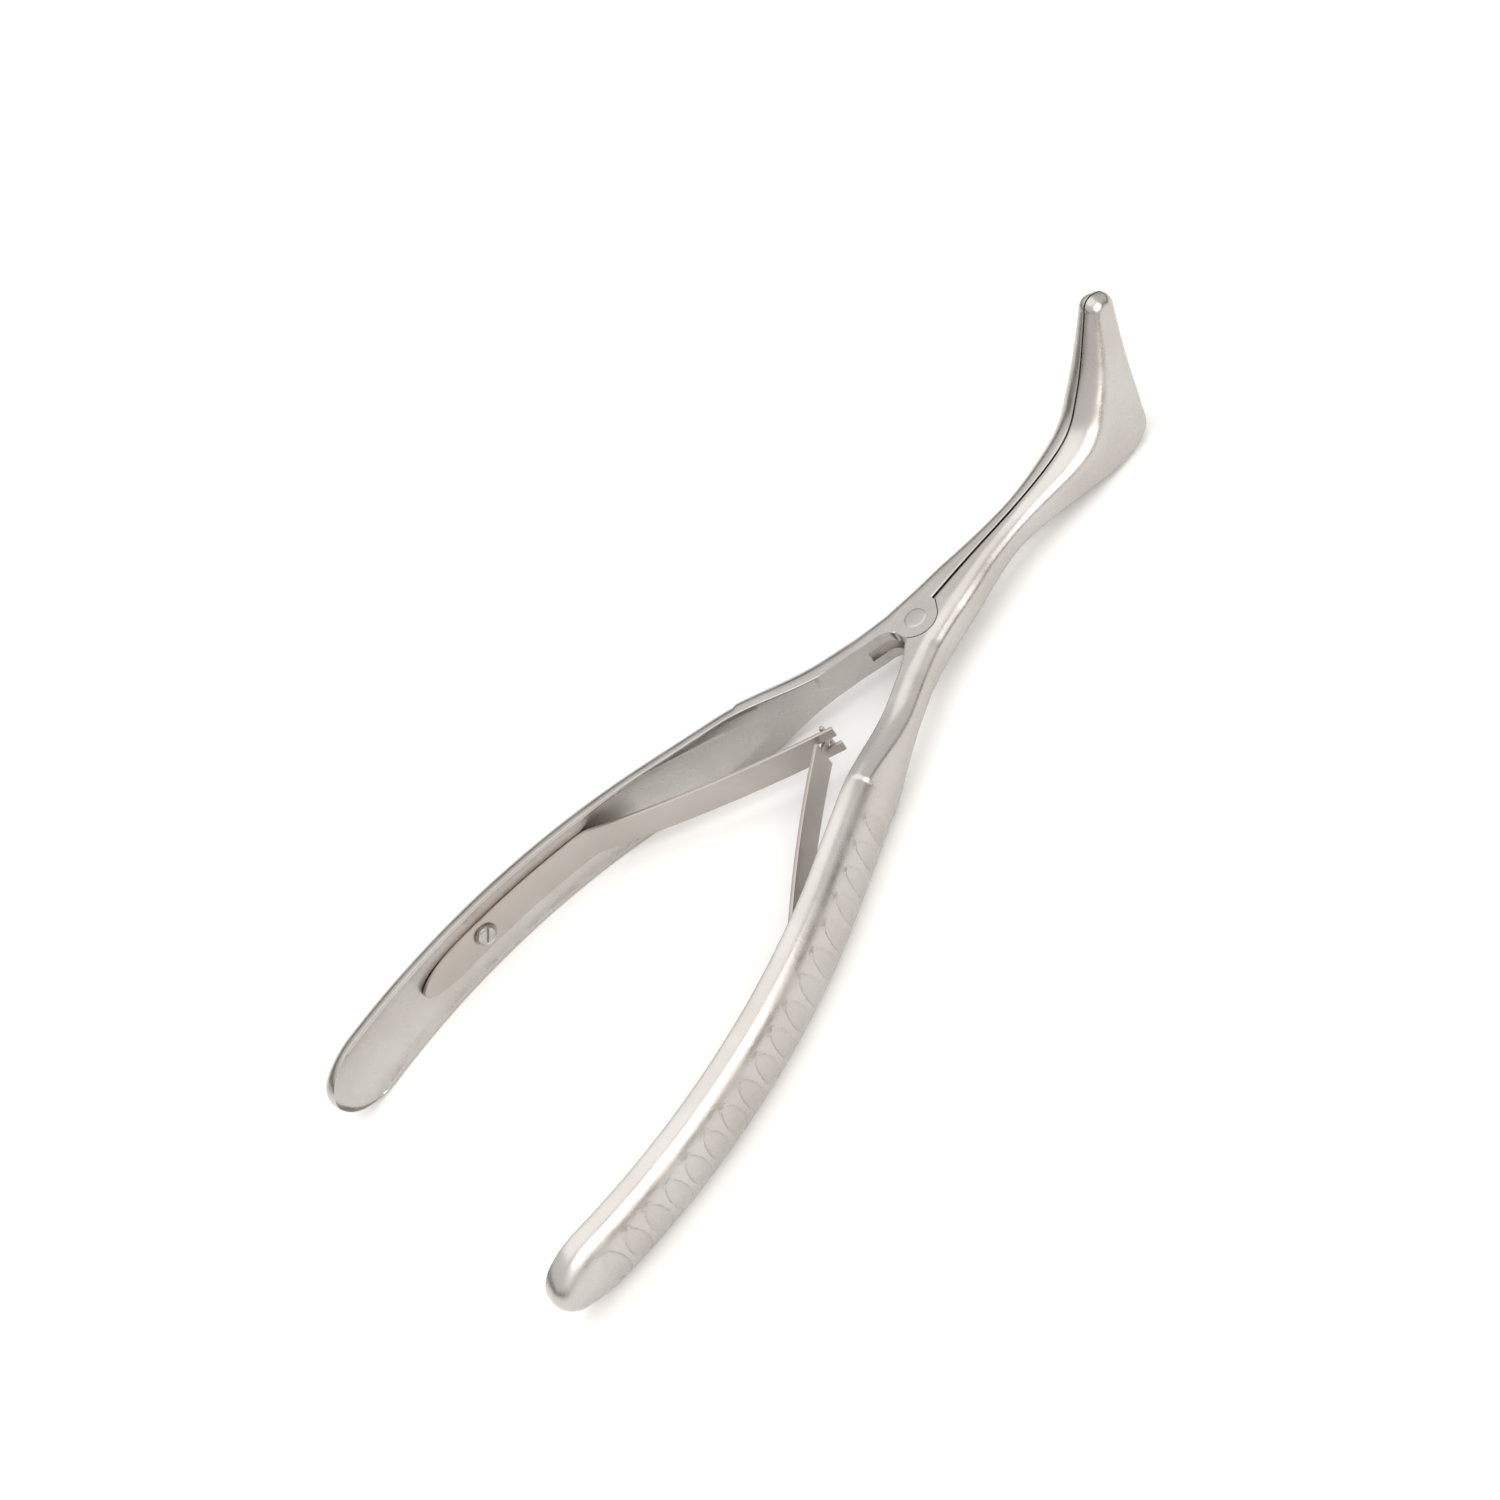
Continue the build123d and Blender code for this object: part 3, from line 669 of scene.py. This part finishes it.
# ---------------------------------------------------------------- materials
def steel(name, base, warm, rough, grain, pits=0.0):
    m = bpy.data.materials.new(name)
    m.use_nodes = True
    nt = m.node_tree
    nt.nodes.clear()
    out = nt.nodes.new("ShaderNodeOutputMaterial")
    bsdf = nt.nodes.new("ShaderNodeBsdfPrincipled")
    nt.links.new(bsdf.outputs["BSDF"], out.inputs["Surface"])
    bsdf.inputs["Metallic"].default_value = 1.0
    coord = nt.nodes.new("ShaderNodeTexCoord")

    def noise(scale, detail, stretch=(1, 1, 1)):
        mapping = nt.nodes.new("ShaderNodeMapping")
        mapping.inputs["Scale"].default_value = stretch
        nt.links.new(coord.outputs["Object"], mapping.inputs["Vector"])
        n = nt.nodes.new("ShaderNodeTexNoise")
        n.inputs["Scale"].default_value = scale
        n.inputs["Detail"].default_value = detail
        nt.links.new(mapping.outputs["Vector"], n.inputs["Vector"])
        return n.outputs["Fac"]

    def ramp(source, lo, hi, a, b):
        r = nt.nodes.new("ShaderNodeMapRange")
        r.inputs["From Min"].default_value = lo
        r.inputs["From Max"].default_value = hi
        r.inputs["To Min"].default_value = a
        r.inputs["To Max"].default_value = b
        nt.links.new(source, r.inputs["Value"])
        return r.outputs["Result"]

    tint = nt.nodes.new("ShaderNodeMix")
    tint.data_type = "RGBA"
    tint.inputs["A"].default_value = (*base, 1)
    tint.inputs["B"].default_value = (*warm, 1)
    nt.links.new(ramp(noise(90, 4), 0.35, 0.65, 0, 1), tint.inputs["Factor"])
    colour = tint.outputs["Result"]
    if pits:
        cells = nt.nodes.new("ShaderNodeTexVoronoi")
        cells.inputs["Scale"].default_value = 1500
        nt.links.new(coord.outputs["Object"], cells.inputs["Vector"])
        spots = ramp(cells.outputs["Distance"], 0.05, 0.14, 1, 0)
        split = nt.nodes.new("ShaderNodeSeparateXYZ")
        nt.links.new(coord.outputs["Object"], split.inputs["Vector"])
        zone = ramp(split.outputs["Y"], -0.032, -0.022, 0, 1)
        patch = nt.nodes.new("ShaderNodeMath")
        patch.operation = "MULTIPLY"
        nt.links.new(zone, patch.inputs[0])
        nt.links.new(ramp(noise(160, 3), 0.5, 0.66, 0, pits), patch.inputs[1])
        where = patch.outputs[0]
        both = nt.nodes.new("ShaderNodeMath")
        both.operation = "MULTIPLY"
        nt.links.new(spots, both.inputs[0])
        nt.links.new(where, both.inputs[1])
        dark = nt.nodes.new("ShaderNodeMix")
        dark.data_type = "RGBA"
        dark.inputs["B"].default_value = (0.3, 0.28, 0.26, 1)
        nt.links.new(both.outputs[0], dark.inputs["Factor"])
        nt.links.new(colour, dark.inputs["A"])
        colour = dark.outputs["Result"]
    nt.links.new(colour, bsdf.inputs["Base Color"])
    nt.links.new(ramp(noise(260, 5), 0.3, 0.7, rough - 0.05, rough + 0.06), bsdf.inputs["Roughness"])
    fine = nt.nodes.new("ShaderNodeBump")
    fine.inputs["Strength"].default_value = grain
    fine.inputs["Distance"].default_value = 0.00002
    nt.links.new(noise(5200, 3, (1, 0.35, 1)), fine.inputs["Height"])
    broad = nt.nodes.new("ShaderNodeBump")
    broad.inputs["Strength"].default_value = 0.25
    broad.inputs["Distance"].default_value = 0.00006
    nt.links.new(noise(420, 3), broad.inputs["Height"])
    nt.links.new(fine.outputs["Normal"], broad.inputs["Normal"])
    nt.links.new(broad.outputs["Normal"], bsdf.inputs["Normal"])
    return m


satin = steel("satin_steel", (0.52, 0.50, 0.485), (0.47, 0.445, 0.425), 0.27, 0.45, pits=0.3)
spring = steel("spring_steel", (0.47, 0.435, 0.415), (0.43, 0.395, 0.37), 0.33, 0.4)
turned = steel("turned_steel", (0.50, 0.49, 0.475), (0.45, 0.44, 0.425), 0.28, 0.3)

for ob, mat, slot_name in (
    (left, satin, "satin_steel"), (right, satin, "satin_steel"), (pin, turned, "fastener_steel"),
    (screw_l, turned, "fastener_steel"), (screw_r, turned, "fastener_steel"),
    (fork, spring, "spring_steel"), (hook, spring, "spring_steel"),
):
    ob.data.materials.clear()
    ob.data.materials.append(mat)

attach(left, "left_handle_body")
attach(pin, "left_handle_body")
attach(screw_l, "left_handle_body")
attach(right, "right_handle_body")
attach(screw_r, "right_handle_body")
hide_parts("left_arm")
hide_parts("right_arm")
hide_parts("pivot_pin")
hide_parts("left_screw")
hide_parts("right_screw")

for ob, side, bodies, nodes in (
    (fork, -1, ("left_handle_body", "left_leaf_body"), ("left_leaf_root", "left_leaf_fork")),
    (hook, 1, ("right_handle_body", "right_leaf_body"), ("right_leaf_root", "right_leaf_hook")),
):
    (x0, y0), _ = PATH(LIFT_S - 0.5)
    (x1, y1), _ = PATH(LIFT_S + 9.0)
    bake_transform(ob)
    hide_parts(*nodes)

# ---------------------------------------------------------------- floor, light, camera
low = min(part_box(n)[0][2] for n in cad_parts)
bm = bmesh.new()
bmesh.ops.create_grid(bm, x_segments=8, y_segments=8, size=1.6)
me = bpy.data.meshes.new("floor")
bm.to_mesh(me)
bm.free()
floor = link("floor", me)
floor.location.z = low - 0.00002
paper = bpy.data.materials.new("white_paper")
paper.use_nodes = True
p = paper.node_tree.nodes["Principled BSDF"]
p.inputs["Base Color"].default_value = (0.9, 0.9, 0.9, 1)
p.inputs["Roughness"].default_value = 0.9
floor.data.materials.append(paper)

world = bpy.data.worlds.new("studio")
bpy.context.scene.world = world
world.use_nodes = True
world.node_tree.nodes["Background"].inputs["Color"].default_value = (1.0, 0.985, 0.965, 1)
world.node_tree.nodes["Background"].inputs["Strength"].default_value = 0.95


def softbox(name, place, aim, width, height, power, colour):
    data = bpy.data.lights.new(name, "AREA")
    data.shape = "RECTANGLE"
    data.size, data.size_y = width, height
    data.energy = power
    data.color = colour
    ob = bpy.data.objects.new(name, data)
    bpy.context.scene.collection.objects.link(ob)
    ob.location = place
    ob.rotation_euler = (Vector(aim) - Vector(place)).to_track_quat("-Z", "Y").to_euler()


softbox("overhead", (-0.1, 0.0, 0.9), (0, -0.02, 0), 1.2, 1.2, 3.6, (1.0, 0.985, 0.96))
softbox("warm_side", (0.9, 0.0, 0.55), (0, -0.02, 0), 1.2, 0.8, 7.5, (1.0, 0.965, 0.91))

# a ring of grey cards on the horizon, which the steel's lower sides mirror
bm = bmesh.new()
ring_r, around = 0.95, 96
low_row, high_row = [], []
for i in range(around):
    a = 2 * math.pi * i / around
    tall = 0.2 + 0.16 * max(-math.cos(a), 0.0)
    low_row.append(bm.verts.new((ring_r * math.cos(a), ring_r * math.sin(a), low)))
    high_row.append(bm.verts.new((ring_r * math.cos(a), ring_r * math.sin(a), low + tall)))
for i in range(around):
    j = (i + 1) % around
    bm.faces.new((low_row[i], low_row[j], high_row[j], high_row[i]))
me = bpy.data.meshes.new("horizon_cards")
bm.to_mesh(me)
bm.free()
cards = link("horizon_cards", me)
card = bpy.data.materials.new("grey_card")
card.use_nodes = True
p = card.node_tree.nodes["Principled BSDF"]
p.inputs["Base Color"].default_value = (0.2, 0.18, 0.165, 1)
p.inputs["Roughness"].default_value = 0.9
cards.data.materials.append(card)

bpy.context.scene.view_settings.view_transform = "Standard"

# camera: its place and turn come from the angles and distance of the view
PITCH, TURN, ROLL, DIST, FOCAL, SX, SY = -0.19101, 0.78708, -0.70830, 350.556, 2459.28 / 1500, 24.658, 17.172
cr, sr = math.cos(ROLL), math.sin(ROLL)
ca, sa = math.cos(PITCH), math.sin(PITCH)
ct, st = math.cos(TURN), math.sin(TURN)
R = (np.array([[cr, -sr, 0], [sr, cr, 0], [0, 0, 1]]) @ np.array([[1, 0, 0], [0, ca, -sa], [0, sa, ca]])
     @ np.array([[ct, 0, -st], [0, 1, 0], [st, 0, ct]]))
eye = R.T @ np.array([-SX, -SY, DIST]) + np.array([0, 0, MID])
cam = bpy.data.cameras.new("camera")
cam.sensor_width = 36
cam.lens = FOCAL * 36
cam.clip_start = 0.01
camera = bpy.data.objects.new("camera", cam)
bpy.context.scene.collection.objects.link(camera)
turn = Matrix([list(R.T[i]) for i in range(3)]).to_4x4()
camera.matrix_world = Matrix.Translation(Vector(eye * MM)) @ turn
bpy.context.scene.camera = camera
